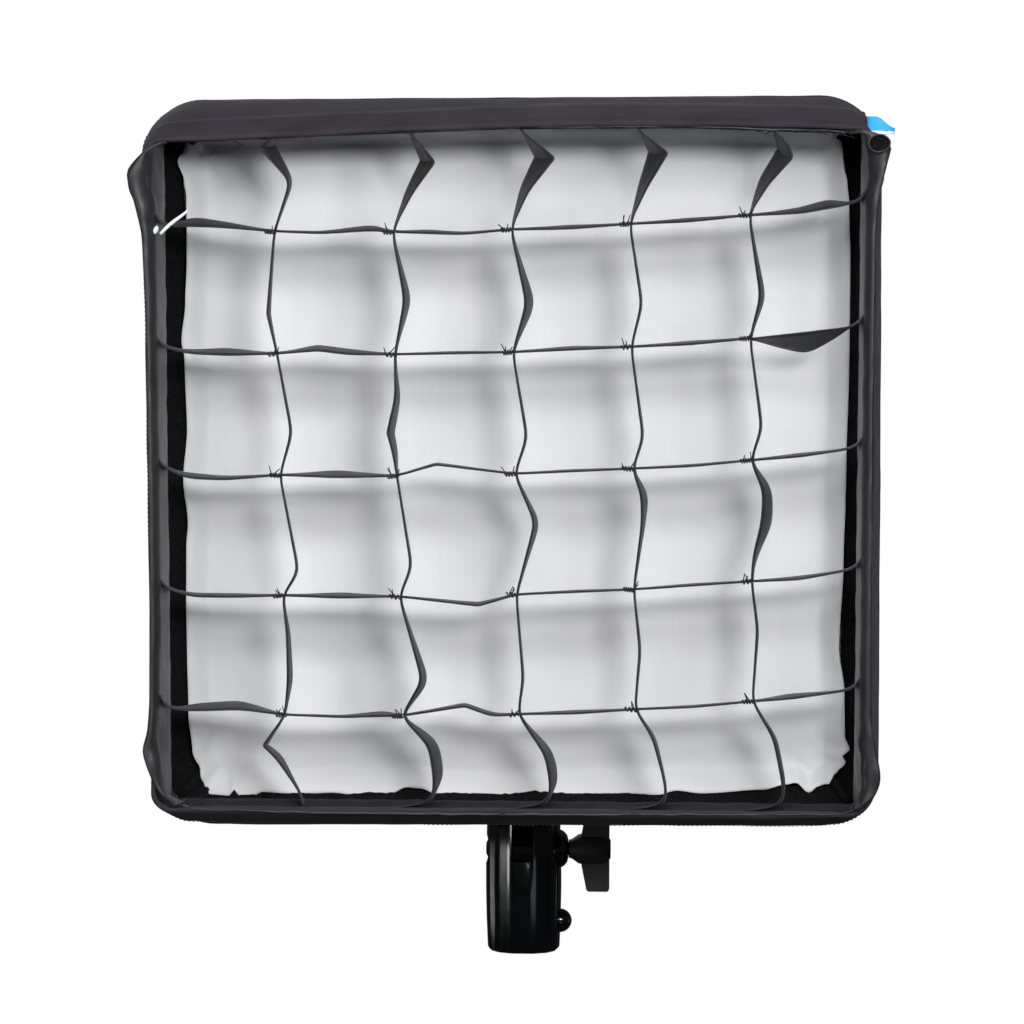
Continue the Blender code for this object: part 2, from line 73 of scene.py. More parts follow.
# Places, from the frame.
HOOD = span(*ring_of("hood"))
SHELL = span(*ring_of("shell"))
TAPE = span(*ring_of("loop_tape"))
GRID = span(*ring_of("grid_band"))
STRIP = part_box("row_strip_3")
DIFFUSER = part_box("front_diffuser")
BACK = span(*ring_of("back_bar"))
CENTRE_Z = (HOOD[0].z + HOOD[1].z) / 2
CREASE_HALF = HOOD[1].x
CREASE_Y = (HOOD[1].y + SHELL[0].y) / 2
MOUTH_Y = HOOD[0].y
BACK_HALF = BACK[1].x
SHELL_REAR_Y = SHELL[1].y
STRIP_FRONT_Y, STRIP_REAR_Y = STRIP[0].y, STRIP[1].y
GRID_REAR_Y = GRID[1].y

# Cloth and seams. Heights are measured from the softbox's centre.
CREASE_CORNER = 0.035
SLEEVE_RADIUS = 0.0028
MOUTH_HALF_WIDTH = 0.2012
MOUTH_TOP = 0.1958
MOUTH_BOTTOM = -0.1905
MOUTH_CORNER = 0.010
SAG_LEFT = 0.0088
SAG_RIGHT = 0.0018
HEAD_ROLL = 0.007
SEAM_AT = 0.42
PER_SIDE = 60
PER_CORNER = 14
BAND_CORNER = 0.012
CLOTH_THICKNESS = 0.0009
STITCH_PITCH = 0.0026
STITCH_RADIUS = 0.00022
THREAD_RADIUS = 0.00042

# Camera.
CAMERA_AZIMUTH = math.radians(2.6)
CAMERA_ELEVATION = math.radians(7.0)
CAMERA_DISTANCE = 2.0
CAMERA_TARGET = Vector((0.0018, -0.200, 0.298))
LENS = 126.0


# ---- camera

def sight_direction():
    """Unit vector from the target to the camera."""
    flat = math.cos(CAMERA_ELEVATION)
    return Vector((math.sin(CAMERA_AZIMUTH) * flat, -math.cos(CAMERA_AZIMUTH) * flat,
                   math.sin(CAMERA_ELEVATION)))


CAMERA_PLACE = CAMERA_TARGET + CAMERA_DISTANCE * sight_direction()


def make_camera():
    data = bpy.data.cameras.new("camera")
    data.lens = LENS
    data.sensor_width = 36.0
    camera = bpy.data.objects.new("camera", data)
    camera.location = CAMERA_PLACE
    camera.rotation_euler = (-sight_direction()).to_track_quat("-Z", "Y").to_euler()
    bpy.context.scene.collection.objects.link(camera)
    bpy.context.scene.camera = camera


# ---- materials

class Graph:
    """A material's node tree, with short ways to add textures to its shader."""

    def __init__(self, name, colour, roughness, metallic=0.0, **sockets):
        self.material = bpy.data.materials.new(name)
        self.material.use_nodes = True
        self.nodes = self.material.node_tree.nodes
        self.links = self.material.node_tree.links
        self.shader = self.nodes["Principled BSDF"]
        self.colour = colour
        self.roughness = roughness
        self.shader.inputs["Base Color"].default_value = (*colour, 1.0)
        self.shader.inputs["Roughness"].default_value = roughness
        self.shader.inputs["Metallic"].default_value = metallic
        for socket, value in sockets.items():
            self.shader.inputs[socket.replace("_", " ")].default_value = value
        self.place = self.nodes.new("ShaderNodeTexCoord").outputs["Object"]
        self.heights = []

    def math(self, operation, first, second):
        node = self.nodes.new("ShaderNodeMath")
        node.operation = operation
        for socket, value in zip(node.inputs, (first, second)):
            if isinstance(value, float):
                socket.default_value = value
            else:
                self.links.new(value, socket)
        return node.outputs[0]

    def noise(self, size, detail=3.0, stretch=(1, 1, 1)):
        """Soft noise whose grains are about this size, in metres."""
        mapping = self.nodes.new("ShaderNodeMapping")
        mapping.inputs["Scale"].default_value = [s / size for s in stretch]
        self.links.new(self.place, mapping.inputs["Vector"])
        node = self.nodes.new("ShaderNodeTexNoise")
        node.inputs["Scale"].default_value = 1.0
        node.inputs["Detail"].default_value = detail
        self.links.new(mapping.outputs["Vector"], node.inputs["Vector"])
        return node.outputs["Fac"]

    def wave(self, axis, pitch):
        """Ridges across one axis, a pitch apart in metres."""
        node = self.nodes.new("ShaderNodeTexWave")
        node.bands_direction = axis
        node.inputs["Scale"].default_value = math.pi / (10 * pitch)
        self.links.new(self.place, node.inputs["Vector"])
        return node.outputs["Fac"]

    def weave(self, pitch):
        """Crossing threads on a surface that faces any way."""
        x, y, z = (self.wave(axis, pitch) for axis in "XYZ")
        first = self.math("ADD", self.math("MULTIPLY", x, y), self.math("MULTIPLY", y, z))
        return self.math("ADD", first, self.math("MULTIPLY", z, x))

    def cells(self, size):
        """Small bumps about this size apart."""
        node = self.nodes.new("ShaderNodeTexVoronoi")
        node.inputs["Scale"].default_value = 1 / size
        self.links.new(self.place, node.inputs["Vector"])
        return node.outputs["Distance"]

    def tint(self, factor, second, low=0.35, high=0.65):
        """Change the colour towards a second one where the factor is high."""
        ramp = self.nodes.new("ShaderNodeValToRGB")
        ramp.color_ramp.elements[0].position = low
        ramp.color_ramp.elements[0].color = (*self.colour, 1.0)
        ramp.color_ramp.elements[1].position = high
        ramp.color_ramp.elements[1].color = (*second, 1.0)
        self.links.new(factor, ramp.inputs["Fac"])
        self.links.new(ramp.outputs["Color"], self.shader.inputs["Base Color"])

    def polish(self, factor, spread):
        """Vary the roughness by this much either way."""
        node = self.nodes.new("ShaderNodeMapRange")
        node.inputs["To Min"].default_value = self.roughness - spread
        node.inputs["To Max"].default_value = self.roughness + spread
        self.links.new(factor, node.inputs["Value"])
        self.links.new(node.outputs["Result"], self.shader.inputs["Roughness"])

    def raise_by(self, factor, height, strength=1.0):
        """Bump the surface by this height in metres; calls add up."""
        bump = self.nodes.new("ShaderNodeBump")
        bump.inputs["Distance"].default_value = height
        bump.inputs["Strength"].default_value = strength
        self.links.new(factor, bump.inputs["Height"])
        if self.heights:
            self.links.new(self.heights[-1], bump.inputs["Normal"])
        self.heights.append(bump.outputs["Normal"])
        self.links.new(bump.outputs["Normal"], self.shader.inputs["Normal"])


# Cloths and threads: two colours, roughness, weave pitch and depth in metres, sheen, specular.
CLOTHS = {
    "outer_fabric": ((0.042, 0.034, 0.045), (0.031, 0.026, 0.034), 0.85, 0.0009, 0.00010, 0.05, 0.12),
    "shell_fabric": ((0.009, 0.009, 0.010), (0.014, 0.014, 0.016), 0.88, 0.0010, 0.00015, 0.02, 0.08),
    "grid_fabric": ((0.022, 0.022, 0.026), (0.015, 0.015, 0.018), 0.60, 0.0007, 0.00006, 0.05, 0.3),
    "border_nylon": ((0.022, 0.022, 0.026), (0.014, 0.014, 0.017), 0.46, 0.0008, 0.00006, 0.05, 0.45),
    "thread": ((0.008, 0.008, 0.009), (0.018, 0.017, 0.019), 0.7, 0.0004, 0.00006, 0.15, 0.3),
    "pale_thread": ((0.085, 0.078, 0.086), (0.050, 0.046, 0.052), 0.7, 0.0004, 0.00006, 0.15, 0.3),
    "white_cord": ((0.86, 0.87, 0.88), (0.75, 0.77, 0.80), 0.8, 0.0006, 0.00010, 0.15, 0.3),
    "tag_blue": ((0.020, 0.330, 0.780), (0.030, 0.400, 0.850), 0.55, 0.0006, 0.00006, 0.15, 0.3),
}

# Metals: colour, roughness, and how finely each axis is brushed.
METALS = {
    "frame_alloy": ((0.055, 0.055, 0.060), 0.42, (1, 1, 6)),
    "spring_steel": ((0.45, 0.45, 0.46), 0.32, (8, 1, 8)),
    "dark_steel": ((0.080, 0.080, 0.085), 0.35, (1, 6, 6)),
    "bush_brass": ((0.70, 0.50, 0.22), 0.33, (1, 1, 8)),
}


def cloth_material(name, colour, second, roughness, pitch, depth, sheen, specular):
    """Woven cloth with slubs, wear and soft creases."""
    graph = Graph(name, colour, roughness, Sheen_Weight=sheen, Specular_IOR_Level=specular)
    graph.shader.inputs["Sheen Roughness"].default_value = 0.4
    graph.tint(graph.noise(0.030, 6.0), second)
    graph.polish(graph.noise(0.012), 0.08)
    graph.raise_by(graph.weave(pitch), depth, 0.3)
    graph.raise_by(graph.noise(0.018, 4.0), 0.0012, 0.35)
    return graph.material


def tape_material():
    """The loop half of hook-and-loop tape: a mat of small curled fibres."""
    graph = Graph("loop_tape", (0.0040, 0.0040, 0.0045), 1.0, Specular_IOR_Level=0.12)
    graph.tint(graph.noise(0.0012, 5.0), (0.016, 0.016, 0.018), 0.45, 0.75)
    graph.raise_by(graph.cells(0.0009), 0.0007, 0.8)
    graph.raise_by(graph.wave("Z", 0.0024), 0.0002, 0.4)
    return graph.material


def diffuser_material():
    """White ripstop nylon: a fine weave with a thicker thread every few millimetres."""
    graph = Graph("diffuser_cloth", (0.77, 0.77, 0.79), 0.62, Specular_IOR_Level=0.25,
                  Sheen_Weight=0.1)
    graph.tint(graph.noise(0.060, 3.0), (0.73, 0.735, 0.76))
    graph.polish(graph.noise(0.02), 0.06)
    graph.raise_by(graph.weave(0.0006), 0.00006, 0.4)
    graph.raise_by(graph.weave(0.005), 0.00010, 0.25)
    return graph.material


def lining_material():
    """Crinkled silver lining."""
    graph = Graph("silver_lining", (0.72, 0.73, 0.75), 0.32, 0.9)
    graph.polish(graph.noise(0.004), 0.1)
    graph.raise_by(graph.noise(0.006, 5.0), 0.0006, 0.5)
    graph.raise_by(graph.weave(0.0012), 0.00008, 0.4)
    return graph.material


def plastic_material(name, colour, roughness, grain=0.0006, depth=0.00004, **sockets):
    """Moulded plastic or enamel with a fine grain and soft wear."""
    graph = Graph(name, colour, roughness, **sockets)
    graph.tint(graph.noise(0.012, 5.0), [c * 1.5 + 0.0005 for c in colour], 0.5, 0.85)
    graph.polish(graph.noise(0.008, 4.0), min(0.06, roughness * 0.35))
    graph.raise_by(graph.noise(grain, 2.0), depth, 0.5)
    return graph.material


def metal_material(name, colour, roughness, stretch):
    """Metal with fine drawn or brushed lines and small stains."""
    graph = Graph(name, colour, roughness, 1.0)
    graph.tint(graph.noise(0.010, 6.0), [c * 0.6 for c in colour], 0.5, 0.9)
    graph.polish(graph.noise(0.002, 3.0, stretch), 0.08)
    graph.raise_by(graph.noise(0.0008, 2.0, stretch), 0.00003, 0.5)
    return graph.material


def make_materials():
    """Every material, by name."""
    made = {name: cloth_material(name, *look) for name, look in CLOTHS.items()}
    made.update({name: metal_material(name, *look) for name, look in METALS.items()})
    made["loop_tape"] = tape_material()
    made["diffuser_cloth"] = diffuser_material()
    made["silver_lining"] = lining_material()
    made["corner_plastic"] = plastic_material("corner_plastic", (0.018, 0.018, 0.019), 0.55)
    made["rib_fibreglass"] = plastic_material("rib_fibreglass", (0.52, 0.47, 0.34), 0.45, 0.0010)
    made["bracket_gloss"] = plastic_material("bracket_gloss", (0.0015, 0.0019, 0.0023), 0.16, 0.003,
                                             0.00002, Coat_Weight=0.35, Coat_Roughness=0.10,
                                             Specular_IOR_Level=0.5)
    made["knob_plastic"] = plastic_material("knob_plastic", (0.022, 0.022, 0.0225), 0.55, 0.0007,
                                            0.00008, Specular_IOR_Level=0.3)
    return made


FINISHES = make_materials()


# ---- mesh helpers

def lerp(first, second, along):
    return first + (second - first) * along


def clamp(value):
    return min(max(value, 0.0), 1.0)


def smoothstep(value):
    value = clamp(value)
    return value * value * (3 - 2 * value)


def bump_at(value, middle, width):
    """A smooth hump of height 1 at the middle."""
    return math.exp(-((value - middle) / width) ** 2)


def shares(steps):
    """Even shares from 0 to 1."""
    return [step / steps for step in range(steps + 1)]


def ripple(point, size, strength, seed=0.0):
    """A smooth random offset for this place, the same every run."""
    return noise.noise_vector(point / size + Vector((seed, seed * 1.7, -seed))) * strength


def finish_piece(name, work, body, slot, looks=(), replaced=()):
    """Turn a bmesh into a piece that rides on a body; its look is its slot's unless told otherwise."""
    mesh = bpy.data.meshes.new(name)
    bmesh.ops.recalc_face_normals(work, faces=work.faces)
    work.to_mesh(mesh)
    work.free()
    mesh.shade_smooth()
    for look in looks or [slot]:
        mesh.materials.append(FINISHES[look])
    piece = bpy.data.objects.new(name, mesh)
    bpy.context.scene.collection.objects.link(piece)
    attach(piece, body)
    if replaced:
        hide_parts(*replaced)
    return piece


def skin(work, rows, closed=False, skip=()):
    """Quads between rows of points; closed joins the end of each row to its start."""
    grid = [[work.verts.new(point) for point in row] for row in rows]
    count = len(rows[0]) if closed else len(rows[0]) - 1
    for r in range(len(rows) - 1):
        for c in range(count):
            if (r, c) not in skip:
                d = (c + 1) % len(rows[0])
                work.faces.new((grid[r][c], grid[r][d], grid[r + 1][d], grid[r + 1][c]))


def sheet_piece(name, rows, body, slot, looks=(), closed=False, thickness=CLOTH_THICKNESS,
                offset=0.0, replaced=(), skip=()):
    """A piece of cloth through rows of points, given its thickness."""
    work = bmesh.new()
    skin(work, rows, closed, skip)
    loose = [vert for vert in work.verts if not vert.link_faces]
    bmesh.ops.delete(work, geom=loose, context="VERTS")
    piece = finish_piece(name, work, body, slot, looks, replaced)
    solid = piece.modifiers.new("thickness", "SOLIDIFY")
    solid.thickness = thickness
    solid.offset = offset
    return piece


def tube(work, points, radius, sides=6, closed=False):
    """Sweep a round section along a path; radius is one number or one for each point."""
    count = len(points)
    radii = radius if isinstance(radius, list) else [radius] * count
    normal = None
    rings = []
    for i, point in enumerate(points):
        before = points[(i - 1) % count] if closed else points[max(i - 1, 0)]
        after = points[(i + 1) % count] if closed else points[min(i + 1, count - 1)]
        tangent = (after - before).normalized()
        if normal is None:
            normal = tangent.orthogonal()
        normal = (normal - tangent * normal.dot(tangent)).normalized()
        side = tangent.cross(normal)
        ring = []
        for k in range(sides):
            angle = 2 * math.pi * k / sides
            offset = math.cos(angle) * normal + math.sin(angle) * side
            ring.append(work.verts.new(point + radii[i] * offset))
        rings.append(ring)
    pairs = list(zip(rings, rings[1:]))
    if closed:
        pairs.append((rings[-1], rings[0]))
    else:
        work.faces.new(rings[0])
        work.faces.new(rings[-1])
    for first, second in pairs:
        for k in range(sides):
            j = (k + 1) % sides
            work.faces.new((first[k], first[j], second[j], second[k]))


def stitch(work, centre, along, outward, length):
    """One arched stitch lying on the cloth."""
    half = along.normalized() * length / 2
    points = []
    radii = []
    for step in (-1.0, -0.6, 0.0, 0.6, 1.0):
        points.append(centre + half * step + outward * STITCH_RADIUS * (1.1 - 1.6 * step * step))
        radii.append(STITCH_RADIUS * (1.0 - 0.5 * abs(step)))
    tube(work, points, radii)


def length_of(points):
    return sum((after - before).length for before, after in zip(points, points[1:]))


def resample(points, spacing):
    """Points an even distance apart along a polyline."""
    lengths = [0.0]
    for first, second in zip(points, points[1:]):
        lengths.append(lengths[-1] + (second - first).length)
    count = max(int(round(lengths[-1] / spacing)), 2)
    result = []
    index = 0
    for step in range(count + 1):
        target = lengths[-1] * step / count
        while index < len(points) - 2 and lengths[index + 1] < target:
            index += 1
        share = (target - lengths[index]) / max(lengths[index + 1] - lengths[index], 1e-9)
        result.append(lerp(points[index], points[index + 1], share))
    return result


def rounded(points, passes):
    """Soften a polyline's corners, keeping its ends."""
    for _ in range(passes):
        middle = [(a + b * 2 + c) / 4 for a, b, c in zip(points, points[1:], points[2:])]
        points = [points[0], *middle, points[-1]]
    return points


def loop(y, half_width, top, bottom, corner, per_side=PER_SIDE, per_corner=PER_CORNER):
    """Points clockwise round a rounded rectangle, from its top left; z from the softbox's centre."""
    corners = [(1, 1), (1, -1), (-1, -1), (-1, 1)]
    heights = {1: top, -1: bottom}
    points = []
    for step, (x_sign, z_sign) in enumerate(corners):
        last_x, last_z = corners[step - 1]
        before = Vector((last_x * (half_width - corner), heights[last_z] - last_z * corner))
        centre = Vector((x_sign * (half_width - corner), heights[z_sign] - z_sign * corner))
        angle = QUARTER_TURN * (1 - step)
        outward = Vector((math.cos(angle), math.sin(angle))) * corner
        for i in range(per_side):
            points.append(lerp(before, centre, i / per_side) + outward)
        for i in range(per_corner):
            turn = angle - QUARTER_TURN * i / per_corner
            points.append(centre + Vector((math.cos(turn), math.sin(turn))) * corner)
    return [Vector((p.x, y, CENTRE_Z + p.y)) for p in points]


def outward_from_centre(point):
    """The direction away from the softbox's axis, square to the nearest side."""
    x, z = point.x, point.z - CENTRE_Z
    power = 8
    direction = Vector((math.copysign(abs(x) ** power, x), 0, math.copysign(abs(z) ** power, z)))
    return direction.normalized()


def stitch_line(work, path, pitch, length, outward=None):
    """Stitches along a path; they stand away from the softbox's axis unless told otherwise."""
    points = resample(path, pitch)
    for first, second in zip(points, points[1:]):
        away = outward_from_centre(first) if outward is None else outward
        stitch(work, (first + second) / 2, second - first, away, length)


# ---- hood and shell

def mouth_sag(point):
    """How far the hood's front edge lies below its straight line, along the top."""
    x, z = point.x, point.z - CENTRE_Z
    on_top = smoothstep((z - 0.150) / 0.030)
    left = SAG_LEFT * clamp((0.030 - x) / 0.220) ** 1.2
    right = SAG_RIGHT * smoothstep((x - 0.12) / 0.074)
    return on_top * (left + right)


def seam_at(mouth):
    """Share of the hood behind its seam; the hem in front of it has an even width."""
    return SEAM_AT + 0.26 * (mouth_sag(mouth) / SAG_LEFT) ** 0.6


def hood_point(crease, mouth, along):
    """A point of the hood between its crease and its mouth."""
    point = lerp(crease, mouth, along)
    point.z -= mouth_sag(point) * along ** 1.5
    outward = outward_from_centre(point)
    belly = (0.0003 + 0.0009 * abs(outward.z)) * math.sin(math.pi * along)
    near_corner = bump_at(abs(abs(crease.x) - abs(crease.z - CENTRE_Z)), 0.0, 0.045)
    point += outward * belly
    point += ripple(point, 0.030, 0.0007 + 0.0016 * near_corner * along, 3.0)
    return point


def hem_lift(point):
    """How far the hem stands off the hood, less so at the sides."""
    outward = outward_from_centre(point)
    return outward * (0.0007 + 0.0009 * abs(outward.z))


def rolled(points):
    """The soft hoop hangs a little askew: turn a loop about the softbox's axis."""
    return [point + Vector((CENTRE_Z - point.z, 0, point.x)) * HEAD_ROLL for point in points]


def hood_loops():
    """The hood's crease and mouth loops."""
    crease = rolled(loop(CREASE_Y - 0.0015, CREASE_HALF - 0.0003, CREASE_HALF - 0.0003,
                         0.0003 - CREASE_HALF, CREASE_CORNER))
    mouth = loop(MOUTH_Y, MOUTH_HALF_WIDTH, MOUTH_TOP, MOUTH_BOTTOM, MOUTH_CORNER)
    return crease, mouth


def make_hood():
    """The hood, its folded hem in front of the seam, and the seam's stitches."""
    crease, mouth = hood_loops()
    rows = [[hood_point(a, b, share) for a, b in zip(crease, mouth)] for share in shares(14)]
    cloth = sheet_piece("hood_cloth", rows, "head", "outer_fabric",
                        closed=True, offset=-1.0, replaced=ring_of("hood"))

    hem_rows = []
    for share in shares(8):
        row = []
        for a, b in zip(crease, mouth):
            point = hood_point(a, b, lerp(seam_at(b), 1.0, share))
            row.append(point + hem_lift(point) * smoothstep(share / 0.1))
        hem_rows.append(row)
    for drop, back in ((-0.0002, -0.0012), (-0.0012, -0.0010), (-0.0016, 0.0006)):
        row = []
        for a, b in zip(crease, mouth):
            point = hood_point(a, b, 1.0)
            row.append(point + outward_from_centre(point) * drop + Vector((0, back, 0)))
        hem_rows.append(row)
    hem = sheet_piece("hood_hem", hem_rows, "head", "outer_fabric",
                      closed=True, thickness=0.0007)

    work = bmesh.new()
    path = [hood_point(a, b, lerp(seam_at(b), 1.0, 0.10)) for a, b in zip(crease, mouth)]
    path = [point + hem_lift(point) * 1.25 for point in path]
    stitch_line(work, path + [path[0]], STITCH_PITCH, STITCH_PITCH * 0.72)
    finish_piece("hood_stitches", work, "head", "outer_fabric", ["pale_thread"])


def make_crease_sleeve():
    """The sleeve that holds the steel hoop, with the seam behind it."""
    half = CREASE_HALF - SLEEVE_RADIUS
    points = loop(CREASE_Y, half, half, -half, CREASE_CORNER - SLEEVE_RADIUS)
    points = [point + ripple(point, 0.020, 0.0003, 7.0) for point in rolled(points)]
    work = bmesh.new()
    tube(work, points, SLEEVE_RADIUS, sides=12, closed=True)
    finish_piece("crease_sleeve", work, "head", "outer_fabric")


def shell_point(front, rear, along, depth=0.0):
    """A point of the tapered shell; the panels are drawn in a little between the ribs."""
    point = lerp(front, rear, along)
    across = min(abs(point.x), abs(point.z - CENTRE_Z)) / max(abs(point.x), abs(point.z - CENTRE_Z))
    hollow = 0.0035 * math.sin(math.pi * along) * (1 - across ** 2)
    creases = 0.0008 + 0.0018 * across ** 6
    point -= outward_from_centre(point) * (hollow + depth)
    point += ripple(point, 0.035, creases * smoothstep(4 * along) * smoothstep(4 - 4 * along), 11.0)
    return point


def shell_loops(per_side=PER_SIDE, per_corner=PER_CORNER):
    front_half = CREASE_HALF - 0.0006
    front = rolled(loop(CREASE_Y + 0.0025, front_half, front_half, -front_half, CREASE_CORNER, per_side,
                        per_corner))
    rear = loop(SHELL_REAR_Y, BACK_HALF, BACK_HALF, -BACK_HALF, BAND_CORNER, per_side, per_corner)
    return front, rear


def make_shell():
    """The tapered shell, its silver lining and the piping in its corner seams."""
    front, rear = shell_loops()
    for name, depth, thickness, slot in (("shell_cloth", 0.0, 0.0009, "shell_fabric"),
                                         ("silver_lining", 0.0014, 0.0004, "silver_lining")):
        rows = [[shell_point(a, b, share, depth) for a, b in zip(front, rear)] for share in shares(20)]
        replaced = ring_of("shell") if name == "shell_cloth" else ()
        cloth = sheet_piece(name, rows, "head", "shell_fabric", [slot], closed=True,
                            thickness=thickness, offset=-1.0, replaced=replaced)

    work = bmesh.new()
    for corner in range(4):
        index = corner * (PER_SIDE + PER_CORNER) + PER_SIDE + PER_CORNER // 2
        path = [shell_point(front[index], rear[index], share) for share in shares(24)]
        path = [point + outward_from_centre(point) * 0.0004 for point in path]
        tube(work, path, 0.0015, sides=8)
    finish_piece("shell_corner_piping", work, "head", "shell_fabric")


def make_back_band():
    """The sewn band that holds the shell's rear edge on the back frame."""
    rows = []
    profile = ((SHELL_REAR_Y - 0.016, 0.0022), (SHELL_REAR_Y - 0.006, 0.0016), (SHELL_REAR_Y, 0.0016),
               (BACK[0].y + 0.006, 0.0015), (BACK[1].y - 0.003, 0.0015), (BACK[1].y - 0.001, 0.0012))
    for y, lift in profile:
        taper = (CREASE_HALF - BACK_HALF) * clamp((SHELL_REAR_Y - y) / (SHELL_REAR_Y - CREASE_Y))
        reach = BACK_HALF + taper + lift
        row = loop(y, reach, reach, -reach, BAND_CORNER + lift)
        rows.append([point + ripple(point, 0.012, 0.0004, 5.0) for point in row])
    band = sheet_piece("back_band", rows, "head", "shell_fabric",
                       closed=True, thickness=0.0014)

    work = bmesh.new()
    for y, lift in ((SHELL_REAR_Y - 0.013, 0.0112), (BACK[1].y - 0.0035, 0.0024)):
        reach = BACK_HALF + lift
        row = loop(y, reach, reach, -reach, BAND_CORNER + lift)
        stitch_line(work, row + [row[0]], 0.0032, 0.0023)
    finish_piece("back_band_stitches", work, "head", "shell_fabric", ["pale_thread"])


def make_loop_tape():
    """The loop tape round the inside of the taper, with its fuzz."""
    front, rear = shell_loops(per_side=150, per_corner=24)
    rows = []
    for share in shares(12):
        y = lerp(TAPE[0].y, TAPE[1].y, share)
        along = (y - front[0].y) / (rear[0].y - front[0].y)
        row = [shell_point(a, b, along, 0.0034) for a, b in zip(front, rear)]
        rows.append([point + ripple(point, 0.0025, 0.0004, 2.0) for point in row])
    tape = sheet_piece("loop_tape_band", rows, "head", "loop_tape",
                       closed=True, thickness=0.0014, replaced=ring_of("loop_tape"))


def make_rib_pockets():
    """The cloth pockets in the corners that the ribs' front ends push into."""
    work = bmesh.new()
    inset = Vector((0.002, 0, 0.002))
    for name in CORNERS:
        low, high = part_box(f"rib_{name}")
        tail = low + inset
        tip = high - inset
        tip.y, tail.y = low.y, high.y
        if "left" in name:
            tip.x, tail.x = tail.x, tip.x
        if "bottom" in name:
            tip.z, tail.z = tail.z, tip.z
        path = []
        radii = []
        for share in shares(14):
            place = lerp(tip, tail, -0.02 + 0.20 * share)
            path.append(place + ripple(place, 0.006, 0.0004, 4.0))
            radii.append(0.0031 if share else 0.0014)
        tube(work, path, radii, sides=14)
    finish_piece("rib_pockets", work, "head", "loop_tape")


# ---- diffuser

DIFFUSER_Y = DIFFUSER[0].y + 0.0004
DIFFUSER_HALF = (0.1915, 0.1960)
DIFFUSER_TOP = 0.1935
RIM_DEPTH = 0.0115

# How far the diffuser's edge reaches from the centre, in millimetres: (place along the side, reach).
DIFFUSER_LEFT = ((-196, 182), (-183, 185), (-170, 189), (-149, 191), (-82, 191.5), (-50, 191), (-36, 190),
                 (-12, 192.5), (20, 190), (60, 191), (69, 192.5), (93, 190), (116, 189), (153, 189),
                 (162, 190.5), (174, 194), (184, 190), (196, 187))
DIFFUSER_RIGHT = ((-196, 184), (-189, 186), (-185, 188.5), (-178, 193), (-173.5, 191), (-169, 195),
                  (-160, 192), (-135, 191.5), (-106, 188), (-60, 190), (0, 191), (60, 192), (116, 192),
                  (149, 191), (161, 190), (174, 187.5), (196, 186.5))
DIFFUSER_BOTTOM = ((-190, 197), (-179, 198.5), (-171, 198.5), (-168, 193.5), (-163, 198.5), (-156, 198),
                   (-149, 195), (-127, 196), (-106, 195), (-87, 197.5), (-73, 195.5), (-63, 191.5),
                   (-55, 192), (-44, 196), (25, 196), (71, 194.5), (84, 194.5), (94, 192), (109, 193.5),
                   (145, 191), (160, 188), (166, 187), (175, 193), (182, 189.5), (190, 188))


def reach_at(table, place):
    """Read a table of (place, reach) in millimetres, rounded between its points; in metres."""
    place *= 1000
    for (first, low), (second, high) in zip(table, table[1:]):
        if place <= second:
            return lerp(low, high, smoothstep((place - first) / (second - first))) * 0.001
    return table[-1][1] * 0.001


def corner_folds(x, z, half_x, half_z):
    """Folds that run out from the diffuser's corners, and small crumples in them."""
    gap_x, gap_z = half_x - abs(x), half_z - abs(z)
    gap = math.hypot(gap_x, gap_z)
    seed = (2 if x > 0 else 0) + (1 if z > 0 else 0)
    angle = math.atan2(gap_z + 0.004, gap_x + 0.004)
    fold = noise.noise(Vector((angle * 5.0, seed * 3.7, 0.5))) * (0.0095 if z > 0 else 0.0060)
    crumple = noise.noise(Vector((x, z, seed)) / 0.007) * 0.0028
    return fold * smoothstep(gap / 0.012) * math.exp(-gap / 0.026) + crumple * math.exp(-gap / 0.012)


def diffuser_point(u, v):
    """A point of the diffuser; u runs from -1 to 1 across it and v from -1 to 1 up it."""
    half_x, half_z = DIFFUSER_HALF
    edge = max(abs(u), abs(v))
    squash = (abs(u) ** 12 + abs(v) ** 12) ** (1 / 12)
    corner = lerp(1.0, 1.0 if squash < 1e-6 else edge / squash, 0.10)
    side_reach = reach_at(DIFFUSER_LEFT if u < 0 else DIFFUSER_RIGHT, v * half_z)
    foot_reach = reach_at(DIFFUSER_BOTTOM, u * half_x) if v < 0 else DIFFUSER_TOP
    x = u * corner * lerp(half_x, side_reach, abs(u) ** 8)
    z = v * corner * lerp(half_z, foot_reach, abs(v) ** 8)
    place = Vector((x, 0, z))
    rim = smoothstep((edge - 0.93) / 0.07)
    slack = noise.noise(place / 0.075 + Vector((4, 2, 9))) * 0.0032
    folds = noise.noise(Vector((x / 0.016, 3.0, z / 0.060))) * 0.0008
    y = DIFFUSER_Y - RIM_DEPTH * rim + (slack + folds) * (1 - smoothstep((edge - 0.9) / 0.1))
    y += corner_folds(x, z, half_x, half_z) + noise.noise(place / 0.022) * 0.0016 * rim
    return Vector((x, min(y, DIFFUSER_Y + 0.004), CENTRE_Z + z))


def make_diffuser():
    """The white diffuser: slack cloth with a rim that curls forward onto the loop tape."""
    places = [2 * share - 1 for share in shares(190)]
    rows = [[diffuser_point(u, v) for u in places] for v in places]
    cloth = sheet_piece("diffuser", rows, "head", "diffuser_cloth", thickness=0.0005,
                        replaced=["front_diffuser"])


# ---- grid

CELLS = 6
COLUMN_START, COLUMN_PITCH = -0.1285, 0.0657
ROW_START, ROW_PITCH = 0.1345, 0.0680
COLUMN_TOPS = (-0.126, -0.056, 0.006, 0.071, 0.145)
COLUMN_FEET = (0.0085, 0.018, 0.018, 0.018, 0.018)
TAB_LENGTH = 0.021
STRIP_THICKNESS = 0.0008
STRIP_STEPS = 6

